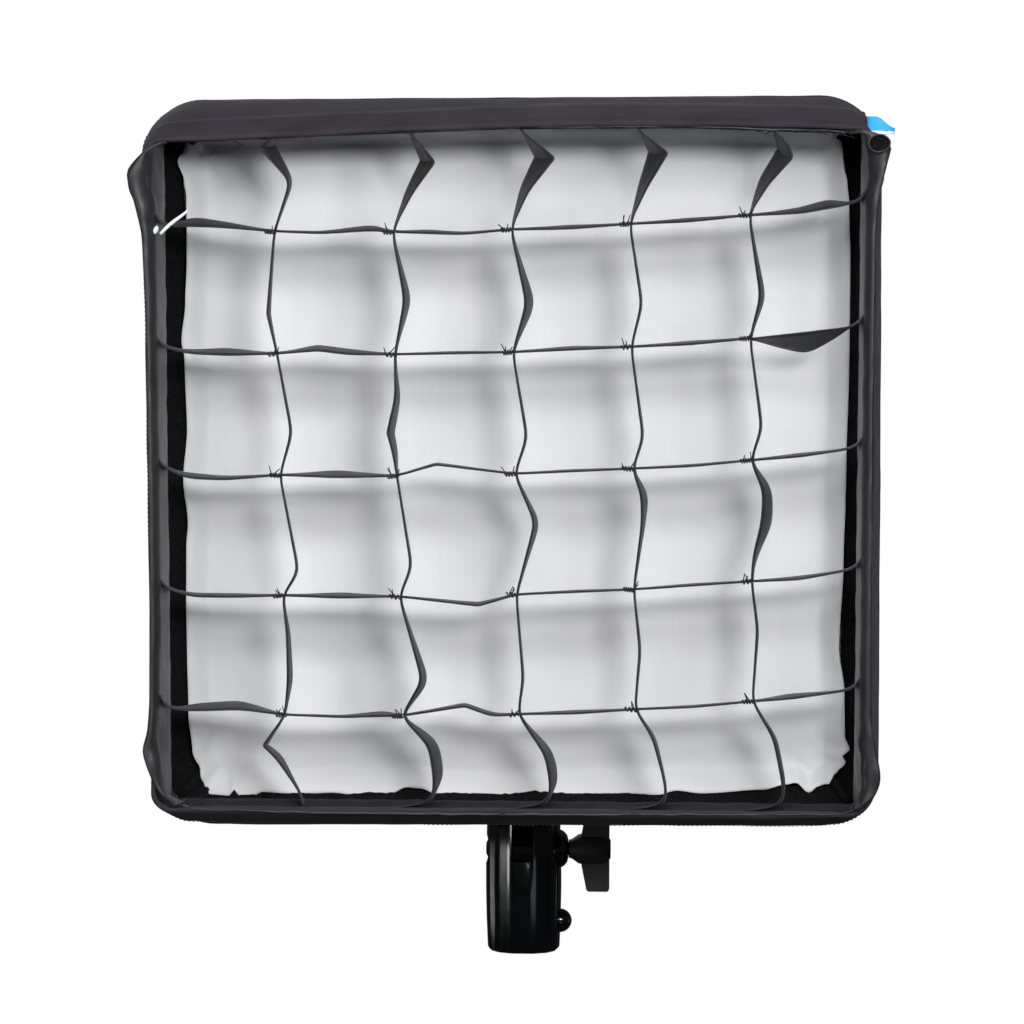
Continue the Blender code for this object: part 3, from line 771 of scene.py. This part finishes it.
# How each stretch of a strip has buckled, cell by cell: (share of the way along, bow, face) in
# millimetres. The bow is to the right or up; the face is how much of the strip's side is turned to
# the front. A fourth value marks a sharp crease.
COLUMN_BUCKLES = (
    (((0.19, -12, 9, 1), (0.50, 7, 2)), ((0.67, -5, 2, 1),), ((0.65, 7, 1),), ((0.80, 9, 1),),
     ((0.30, 2, 2), (0.70, 2, 3)), ((0.33, -16, 2, 1), (0.50, -10, 4))),
    (((0.27, 18, -8, 1), (0.60, 8, -4)), ((0.55, 6, 4),), ((0.35, 0, 3), (0.64, -5, 4, 1), (0.80, -2, 3)),
     ((0.75, 7, 1),), ((0.70, 12, 4),), ((0.45, 8, 6), (0.80, 4, 6))),
    (((0.25, 21, -11, 1), (0.60, 8, -5)), ((0.60, 8, 5),), ((0.70, 7, 1),), ((0.40, 11, 3),),
     ((0.70, 3, 1),), ((0.55, 6, 5), (0.85, 3, 5))),
    (((0.22, 18, -11, 1), (0.60, 8, -5)), ((0.65, 6, 1),), ((0.74, 6, 1),), ((0.22, 5, 4), (0.45, 5, 2)),
     ((0.50, 3, 1),), ((0.35, 4, 2), (0.80, 2, 1))),
    (((0.14, 13, -9), (0.25, 15, -10, 1), (0.60, 6, -6)), ((0.66, 6, 3),), ((0.73, 6, 1),),
     ((0.25, 7, 5), (0.50, 6, 6), (0.80, 1, 2)), ((0.40, 3, 1),), ((0.41, 5, 2), (0.85, 2, 2))),
)
ROW_BUCKLES = (
    (((0.25, 1, 5), (0.55, 1, 3)), ((0.40, -1, 1), (0.85, 1, 3)), ((0.30, -1, 2), (0.60, -2, 1)),
     ((0.50, -1, 2),), ((0.50, -1, 2),), ((0.50, -2, 3), (0.80, -1, 5))),
    (((0.20, -2, 2), (0.55, -2, 4)), ((0.35, 2, 3, 1), (0.60, 0, 3)), ((0.50, 0, 1),), ((0.50, 0, 2),),
     ((0.50, -1, 2),), ((0.25, 0, -6), (0.55, 0, -12), (0.85, 0, -5))),
    (((0.15, -4, 3), (0.50, -4, 2)), ((0.50, -1, 4),), ((0.34, 6, 1, 1),), ((0.50, 0, 1),),
     ((0.50, -1, 1),), ((0.50, -1, 2),)),
    (((0.20, -3, 2), (0.60, -2, 2)), ((0.50, -1, 3),), ((0.68, -6, 2, 1),), ((0.50, 0, 1),),
     ((0.50, 0, 1),), ((0.50, -2, 2),)),
    (((0.20, 0, 4), (0.60, 2, 5)), ((0.50, -1, 1), (0.88, 0, 3)), ((0.55, 5, 2, 1), (0.78, -1, 2)),
     ((0.50, -1, 2),), ((0.50, -1, 1),), ((0.40, -1, 3),)),
)


def row_lift(x):
    """The strips rise towards the right, where the border has been pulled up."""
    return 0.0025 + 0.035 * x + 0.2 * x * x


def crossing(column, row):
    """Where two strips cross, in (x, z) from the softbox's centre."""
    x = COLUMN_START + COLUMN_PITCH * column + 0.001 * (row - 2)
    return Vector((x, ROW_START - ROW_PITCH * row + row_lift(x)))


def column_knots(column):
    """The ends and crossings of an upright strip, from the top."""
    top = Vector((COLUMN_TOPS[column], 0.1925))
    last = crossing(column, 4)
    foot = Vector((last.x + COLUMN_FEET[column], -0.1810))
    return [top] + [crossing(column, row) for row in range(5)] + [foot]


def row_knots(row):
    """The ends and crossings of a level strip, from the left."""
    left, right = crossing(0, row), crossing(4, row)
    start = Vector((-0.1900, left.y + 0.0025))
    end = Vector((0.1885, right.y + 0.0065))
    return [start] + [crossing(column, row) for column in range(5)] + [end]


def strip_path(knots, buckles):
    """Spaced points (x, z, face) along a strip, and which of them are crossings."""
    path = [Vector((knots[0].x, knots[0].y, 0.0006))]
    creases = []
    marks = []
    for first, second, stretch in zip(knots, knots[1:], buckles):
        run = second - first
        across = Vector((-run.y, run.x)).normalized()
        for share, bow, face, *crease in stretch:
            place = lerp(first, second, share) + across * bow * 0.001
            path.append(Vector((place.x, place.y, face * 0.001)))
            if crease:
                creases.append(place)
        path.append(Vector((second.x, second.y, 0.0002)))
        marks.append(second)
    return path, creases, marks[:-1]


def freedom(point, creases):
    """How far a strip's point may move when its path is rounded; points at a crease hardly move."""
    gaps = [(point.xy - crease).length for crease in creases]
    return 0.06 if gaps and min(gaps) < 0.0022 else 0.5


def soften(path, creases):
    """Round a strip's path, keeping its creases sharp."""
    points = resample(path, 0.0015)
    weights = [freedom(point, creases) for point in points]
    for _ in range(14):
        moved = [points[0]]
        for before, here, after, weight in zip(points, points[1:], points[2:], weights[1:]):
            moved.append(lerp(here, (before + after) / 2, weight))
        points = moved + [points[-1]]
    return points


def strip_sections(points):
    """The strip's front edge to its rear edge at each point of its path."""
    sections = []
    count = len(points)
    for i, point in enumerate(points):
        before, after = points[max(i - 1, 0)], points[min(i + 1, count - 1)]
        run = Vector((after.x - before.x, after.y - before.y)).normalized()
        across = Vector((-run.y, run.x))
        front = Vector((point.x, STRIP_FRONT_Y, CENTRE_Z + point.y))
        sight = front - CAMERA_PLACE
        rear = front + sight * (STRIP_REAR_Y - STRIP_FRONT_Y) / sight.y
        rear += Vector((across.x, 0, across.y)) * point.z
        section = []
        for share in shares(STRIP_STEPS):
            bowed = Vector((across.x, 0, across.y)) * 0.0005 * math.sin(math.pi * share)
            section.append(lerp(front, rear, share) + bowed)
        sections.append(section)
    return sections


def make_strip(name, node, knots, buckles, tab, from_front):
    """One grid strip, with half-lap slots where it crosses the others."""
    path, creases, marks = strip_path(knots, buckles)
    points = soften(tab(path), creases)
    half = STRIP_STEPS // 2
    slot_depth = range(half) if from_front else range(half, STRIP_STEPS)
    skip = set()
    for mark in marks:
        nearest = min(range(len(points)), key=lambda i: (points[i].xy - mark).length)
        skip.update((nearest, depth) for depth in slot_depth)
    strip = sheet_piece(name, strip_sections(points), "grid", "grid_fabric",
                        thickness=STRIP_THICKNESS, replaced=[node], skip=skip)


def column_tab(path):
    """An upright strip's foot is folded over to the left along the bottom border."""
    foot = path[-1]
    if foot.x < -0.1:
        return path + [Vector((foot.x + 0.001, -0.1875, 0.0010))]
    fold = [Vector((foot.x - 0.003, -0.1850, 0.0030)), Vector((foot.x - 0.009, -0.1868, 0.0020)),
            Vector((foot.x - TAB_LENGTH, -0.1884, 0.0005))]
    return path + fold


def row_tab(path):
    """A level strip's ends turn up along the side borders."""
    start, end = path[0], path[-1]
    left = [Vector((-0.1972, start.y + 0.0085, 0.0)), Vector((-0.1958, start.y + 0.0030, 0.0010))]
    right = [Vector((0.1948, end.y + 0.0020, 0.0010)), Vector((0.1972, end.y + 0.0085, 0.0))]
    return left + path + right


def make_strips():
    for step in range(CELLS - 1):
        make_strip(f"row_ribbon_{step + 1}", f"row_strip_{step + 1}", row_knots(step),
                   ROW_BUCKLES[step], row_tab, True)
        make_strip(f"column_ribbon_{step + 1}", f"column_strip_{step + 1}", column_knots(step),
                   COLUMN_BUCKLES[step], column_tab, False)


def make_tacks():
    """Thread wound round each crossing, with its ends left long."""
    chance = random.Random(12)
    work = bmesh.new()
    for row in range(CELLS - 1):
        for column in range(CELLS - 1):
            place = crossing(column, row)
            centre = Vector((place.x - 0.0022, STRIP_FRONT_Y + 0.0002, CENTRE_Z + place.y))
            turns = chance.choice((3, 4, 4, 5))
            slope = chance.uniform(-0.15, 0.20)
            helix = []
            for step in range(turns * 9 + 1):
                angle = 2 * math.pi * step / 9
                share = step / (turns * 9) - 0.5
                radius = 0.0010 + 0.0003 * math.cos(math.pi * share)
                along = share * chance.uniform(0.0062, 0.0070)
                helix.append(centre + Vector((along, radius * 1.3 * math.cos(angle),
                                              radius * math.sin(angle) + along * slope)))
            tube(work, helix, THREAD_RADIUS, sides=5)
            for _ in range(chance.choice((2, 2, 3))):
                start = centre + Vector((chance.uniform(-0.0022, 0.0028), -0.0010, 0.0004))
                lean = chance.uniform(-0.9, 0.9)
                reach = chance.uniform(0.0026, 0.0052)
                bend = chance.uniform(-0.0012, 0.0012)
                end = [start + Vector((lean * reach * share + bend * share * share,
                                       -0.0008 * math.sin(2.5 * share), reach * share))
                       for share in shares(6)]
                tube(work, end, [THREAD_RADIUS * (1 - 0.35 * share) for share in shares(6)], sides=5)
    finish_piece("crossing_tacks", work, "grid", "grid_fabric", ["thread"])


# Front edge of the grid's border, clockwise, in millimetres from the softbox's centre.
BORDER_FRONT = {
    "top": ((-190, 185.5), (-100, 189.5), (0, 193.5), (100, 194), (187, 191)),
    "right": ((187, 191), (198, 191.5), (206, 188), (209, 184), (207, 174), (203, 158), (201.5, 140),
              (201, 100), (201, 0), (201.5, -100), (202, -140), (206, -158), (208, -170), (204, -180),
              (195, -187)),
    "bottom": ((195, -187), (185, -189.5), (100, -190.5), (0, -191.5), (-100, -191.5), (-178, -190),
               (-185, -187)),
    "left": ((-185, -187), (-196, -182), (-202, -170), (-206.5, -156), (-203, -147), (-201.5, -130),
             (-200.5, -60), (-200.5, 0), (-201, 90), (-202.5, 135), (-206.5, 152), (-211.5, 169),
             (-205, 176), (-197, 184), (-190, 185.5)),
}
BORDER_REAR = 0.1975
BORDER_REAR_TOP = 0.1945
BORDER_REAR_BOTTOM = -0.1902
BORDER_LIP_Y = {"top": STRIP_FRONT_Y - 0.001, "bottom": -0.2022, "left": -0.2055, "right": -0.2055}
LIP_Y = BORDER_LIP_Y["right"]
BORDER_COUNT = 120
UPRIGHT = ("left", "right")

# How a band opens: (share of its depth, share of the way out to its front edge).
BORDER_FLARE = ((0.0, 0.0), (0.2, 0.02), (0.4, 0.05), (0.6, 0.10), (0.75, 0.18), (0.86, 0.24), (0.93, 0.62),
                (1.0, 1.0))


def border_corner(step):
    """Rear corner of the border after this side, clockwise from the top."""
    x_sign, z_sign = ((1, 1), (1, -1), (-1, -1), (-1, 1))[step]
    return Vector((x_sign * (BORDER_REAR - 0.002), BORDER_REAR_TOP if z_sign > 0 else BORDER_REAR_BOTTOM))


def border_paths(step, side):
    """A band's rear edge and front edge, as even points (x, z) from the softbox's centre."""
    front = [Vector((x, z)) * 0.001 for x, z in BORDER_FRONT[side]]
    front = rounded(resample(front, length_of(front) / BORDER_COUNT), 2)
    rear = [lerp(border_corner(step - 1), border_corner(step), share) for share in shares(BORDER_COUNT)]
    return rear, front


def border_rows(step, side):
    """A band from its rear edge to its front edge, and its turned-in lip."""
    rear, front = border_paths(step, side)
    lip_y = BORDER_LIP_Y[side]
    rows = []
    for share, flare in BORDER_FLARE:
        y = lerp(GRID_REAR_Y - 0.003, lip_y, share)
        row = []
        for back, edge in zip(rear, front):
            inside = 1.0 if side == "top" else clamp((back.y - edge.y - 0.004) / 0.003)
            place = lerp(back, edge, lerp(flare, share, inside))
            point = Vector((place.x, y, CENTRE_Z + place.y))
            folded = smoothstep((abs(place.y) - 0.120) / 0.035) if side in UPRIGHT else 0.2
            row.append(point + ripple(point, 0.011, 0.0005 + 0.0015 * folded * share, 6.0))
        rows.append(row)
    for back, drop in ((0.0012, 0.0010), (0.0060, 0.0014)):
        row = []
        for edge in front:
            point = Vector((edge.x, lip_y + back, CENTRE_Z + edge.y))
            row.append(point + outward_from_centre(point) * (drop - back * 0.35))
        rows.append(row)
    return rows


def make_border():
    """The grid's four border bands; the side bands flare out in front of the hood. Behind the nylon lip,
    the top and bottom bands get black cloth: painted shade on the same nylon as the sides.
    """
    for step, side in enumerate(SIDES):
        upright = side in UPRIGHT
        rows = border_rows(step, side)
        nylon_to_y = rows[-3][0].y + 0.0012
        # Top and bottom bands: the black shell cloth behind the lip is painted shade; the lip stays nylon.
        band = sheet_piece(f"border_{side}", rows, "grid", "border_nylon",
                           ["border_nylon" if upright else "shell_fabric", "border_nylon"],
                           thickness=0.0009, replaced=[f"grid_band_{side}"])
        for face in band.data.polygons:
            face.material_index = 1 if face.center.y < nylon_to_y else 0


def make_corner_roll():
    """The curl of nylon at the grid's top right corner: a shallow cup whose inside is black loop-tape
    material, painted shade in the hollow.
    """
    rows = []
    for share in shares(8):
        row = []
        for k in range(36):
            angle = 2 * math.pi * k / 36
            reach = Vector((math.cos(angle) * 0.0058, 0, math.sin(angle) * 0.0046))
            reach *= 1 - 0.95 * smoothstep((share - 0.4) / 0.6)
            point = Vector((0.2030, LIP_Y - 0.0030 * (1 - share), CENTRE_Z + 0.1850)) + reach
            row.append(point + ripple(point, 0.006, 0.0005, 9.0))
        rows.append(row)
    roll = sheet_piece("border_corner_roll", rows, "grid", "border_nylon", ["border_nylon", "loop_tape"],
                       closed=True, thickness=0.0008)
    # The inner faces get the black loop-tape material: painted shade inside the cup.
    for face in roll.data.polygons:
        face.material_index = 1 if face.center.y > LIP_Y - 0.0021 else 0


def make_border_stitches():
    work = bmesh.new()
    for sign in (-1, 1):
        path = [Vector((sign * (BORDER_REAR + 0.0005), -0.1975, CENTRE_Z + z * 0.001))
                for z in range(-140, 136)]
        stitch_line(work, path, STITCH_PITCH, STITCH_PITCH * 0.7, Vector((-sign, 0, 0)))
    finish_piece("border_stitches", work, "grid", "border_nylon", ["thread"])


# Frayed thread ends, as (body, start, end) in millimetres from the softbox's centre.
FRAYS = (
    ("head", (134, -199, 193), (141, -201, 190)), ("head", (141, -201, 190), (148, -200, 192)),
    ("head", (150, -199, 193), (158, -201, 191)), ("head", (165, -199, 192), (176, -201, 189)),
    ("head", (172, -199, 191), (183, -201, 190)), ("head", (181, -199, 192), (190, -200, 187)),
    ("head", (-152, -199, 186), (-147, -201, 184)), ("head", (-60, -199, 191), (-55, -201, 190)),
    ("grid", (-186, -204, -186), (-181, -205, -183)), ("grid", (-181, -204, -187), (-177, -205, -183)),
    ("grid", (-176, -204, -187), (-173, -205, -182)), ("grid", (-171, -204, -187), (-166, -205, -184)),
    ("grid", (191, -204, -186), (196, -205, -181)), ("grid", (-203, -205, 178), (-199, -206, 181)),
)


def make_frays():
    """Frayed ends of thread along the hood's hem and at the grid's corners."""
    for body, slot in (("head", "outer_fabric"), ("grid", "border_nylon")):
        work = bmesh.new()
        for owner, start, end in FRAYS:
            if owner != body:
                continue
            first, second = (Vector((x, y, z + CENTRE_Z * 1000)) * 0.001 for x, y, z in (start, end))
            path = [lerp(first, second, share) for share in shares(8)]
            path = [place + ripple(place, 0.004, 0.0012, 8.0) for place in path]
            tube(work, path, [THREAD_RADIUS * (1 - 0.48 * share) for share in shares(8)])
        finish_piece(f"{body}_frays", work, body, slot, ["thread"])


def make_tag():
    """The plain tag at the top right corner."""
    rows = []
    for share in shares(8):
        row = []
        for across in shares(8):
            x = lerp(0.1970, 0.2120, across)
            top = 0.1995 - 0.0064 * smoothstep((across - 0.30) / 0.70)
            z = lerp(top, 0.1888 + 0.0012 * across, share)
            y = -0.1950 - 0.0020 * math.sin(math.pi * across) - 0.0010 * share
            row.append(Vector((x, y, CENTRE_Z + z)))
        rows.append(row)
    tag = sheet_piece("corner_tag", rows, "head", "outer_fabric",
                      ["tag_blue", "white_cord"], thickness=0.0006)
    for face in tag.data.polygons:
        face.material_index = 1 if face.center.z - CENTRE_Z < 0.1912 else 0


def make_white_cord():
    """The loose white cord at the left, with its frayed bead."""
    work = bmesh.new()
    path = []
    for share in shares(16):
        x = lerp(-0.1935, -0.1790, share)
        z = lerp(0.1345, 0.1478, share) + 0.0005 * math.sin(5 * share)
        path.append(Vector((x, lerp(-0.2010, -0.1930, share), CENTRE_Z + z)))
    radii = [0.0005 + 0.0006 * math.sin(math.pi * min(1, 0.15 + 0.8 * share)) for share in shares(16)]
    tube(work, path, radii, sides=8)
    bead = [Vector((-0.1968 + 0.0004 * k, -0.2010, CENTRE_Z + 0.1345 + 0.0011 * k)) for k in range(5)]
    tube(work, bead, [0.0006, 0.0012, 0.0014, 0.0012, 0.0006], sides=8)
    finish_piece("loose_white_cord", work, "grid", "border_nylon", ["white_cord"])


# ---- hard pieces

HARD_PIECES = {
    "bracket_gloss": (0.0006, ("bracket_column", "pivot_tongue", "tilt_flange", "lock_knob")),
    "knob_plastic": (0.0010, ("tilt_knob",)),
    "dark_steel": (0.00025, ("pivot_bolt", "pivot_washer", "foot_screw_left", "foot_screw_right",
                             "lock_screw", "lock_washer")),
    "bush_brass": (0.0002, ("socket_bush",)),
    "frame_alloy": (0.0006, tuple(ring_of("back_bar"))),
    "corner_plastic": (0.0008, tuple(ring_of("corner_block", CORNERS))),
    "spring_steel": (0.0001, tuple(ring_of("front_rod") + ring_of("front_corner", CORNERS))),
    "rib_fibreglass": (0.0002, tuple(ring_of("rib", CORNERS))),
}


def body_of_node(node):
    for body, members in frame["record"]["behaviour"]["bodies"].items():
        if node in members:
            return body
    raise ValueError(node)


def refine(node, slot, width):
    """A finished copy of a hard piece: welded, smooth, with its sharp edges rounded off."""
    work = bmesh.new()
    work.from_mesh(frame["nodes"][node].data)
    bmesh.ops.remove_doubles(work, verts=work.verts, dist=0.00001)
    bmesh.ops.dissolve_limit(work, angle_limit=math.radians(0.5), verts=work.verts, edges=work.edges)
    piece = finish_piece(f"{node}_finished", work, body_of_node(node), slot, replaced=[node])
    piece.data.set_sharp_from_angle(angle=math.radians(32))
    bevel = piece.modifiers.new("edges", "BEVEL")
    bevel.width = width
    bevel.segments = 3
    bevel.limit_method = "ANGLE"
    bevel.angle_limit = math.radians(35)
    bevel.use_clamp_overlap = True
    bevel.harden_normals = True


def make_hard_pieces():
    for slot, (width, nodes) in HARD_PIECES.items():
        for node in nodes:
            refine(node, slot, width)


# ---- stage and light

def area_light(name, place, target, width, height, power, colour=(1, 1, 1)):
    data = bpy.data.lights.new(name, "AREA")
    data.shape = "RECTANGLE"
    data.size = width
    data.size_y = height
    data.energy = power
    data.color = colour
    lamp = bpy.data.objects.new(name, data)
    lamp.location = place
    lamp.rotation_euler = (Vector(target) - Vector(place)).to_track_quat("-Z", "Y").to_euler()
    lamp.visible_camera = False
    bpy.context.scene.collection.objects.link(lamp)


def white_to_camera(tree, output, glow):
    """Plain white where the camera sees it, and a dim glow for the rest of the light."""
    path = tree.nodes.new("ShaderNodeLightPath")
    mix = tree.nodes.new("ShaderNodeMixShader")
    kind = "ShaderNodeBackground" if output.type == "OUTPUT_WORLD" else "ShaderNodeEmission"
    shaders = []
    for strength in (glow, 1.0):
        shader = tree.nodes.new(kind)
        shader.inputs["Strength"].default_value = strength
        shader.inputs["Color"].default_value = (1, 1, 1, 1)
        shaders.append(shader)
    tree.links.new(path.outputs["Is Camera Ray"], mix.inputs["Fac"])
    tree.links.new(shaders[0].outputs[0], mix.inputs[1])
    tree.links.new(shaders[1].outputs[0], mix.inputs[2])
    tree.links.new(mix.outputs[0], output.inputs["Surface"])


def make_stage():
    """A pale floor well below, a white surround and soft studio light."""
    work = bmesh.new()
    bmesh.ops.create_circle(work, cap_ends=True, segments=96, radius=7.0)
    mesh = bpy.data.meshes.new("floor")
    work.to_mesh(mesh)
    work.free()
    floor = bpy.data.objects.new("floor", mesh)
    floor.location = (0, 0, -0.9)
    bpy.context.scene.collection.objects.link(floor)
    paint = bpy.data.materials.new("floor_white")
    paint.use_nodes = True
    output = paint.node_tree.nodes["Material Output"]
    white_to_camera(paint.node_tree, output, 0.02)
    mesh.materials.append(paint)

    world = bpy.data.worlds.new("studio")
    world.use_nodes = True
    bpy.context.scene.world = world
    white_to_camera(world.node_tree, world.node_tree.nodes["World Output"], 0.05)

    centre = Vector((0, -0.12, CENTRE_Z))
    low = Vector((0, 0, 0.06))
    area_light("key", centre + Vector((0.46, -1.80, 0.51)), centre, 0.42, 0.24, 15.5)
    area_light("broad", centre + Vector((0.0, -1.82, 0.72)), centre, 2.7, 0.62, 27)
    area_light("high", centre + Vector((0.1, -1.45, 1.25)), centre, 1.8, 1.20, 10)
    area_light("top", centre + Vector((0.1, -0.5, 1.5)), centre, 1.0, 0.8, 2)
    area_light("back", centre + Vector((-0.8, 1.8, 0.9)), centre, 1.2, 1.2, 10)
    area_light("left_strip", (-0.52, -0.80, -0.06), low, 0.16, 0.22, 1.1)
    area_light("left_edge", (-0.92, 0.10, -0.12), low, 0.03, 0.26, 0.09)
    area_light("right_glow", (0.24, -0.95, -0.17), low, 0.34, 0.16, 0.17, (0.70, 0.82, 1.0))
    area_light("right_edge", (0.95, 0.16, -0.15), low, 0.04, 0.18, 0.05)
    bpy.context.scene.view_settings.view_transform = "Standard"


# ---- build

make_camera()
for make in (make_hood, make_crease_sleeve, make_shell, make_back_band, make_loop_tape, make_rib_pockets,
             make_diffuser, make_strips, make_tacks, make_border, make_corner_roll, make_border_stitches,
             make_frays, make_tag, make_white_cord, make_hard_pieces, make_stage):
    make()
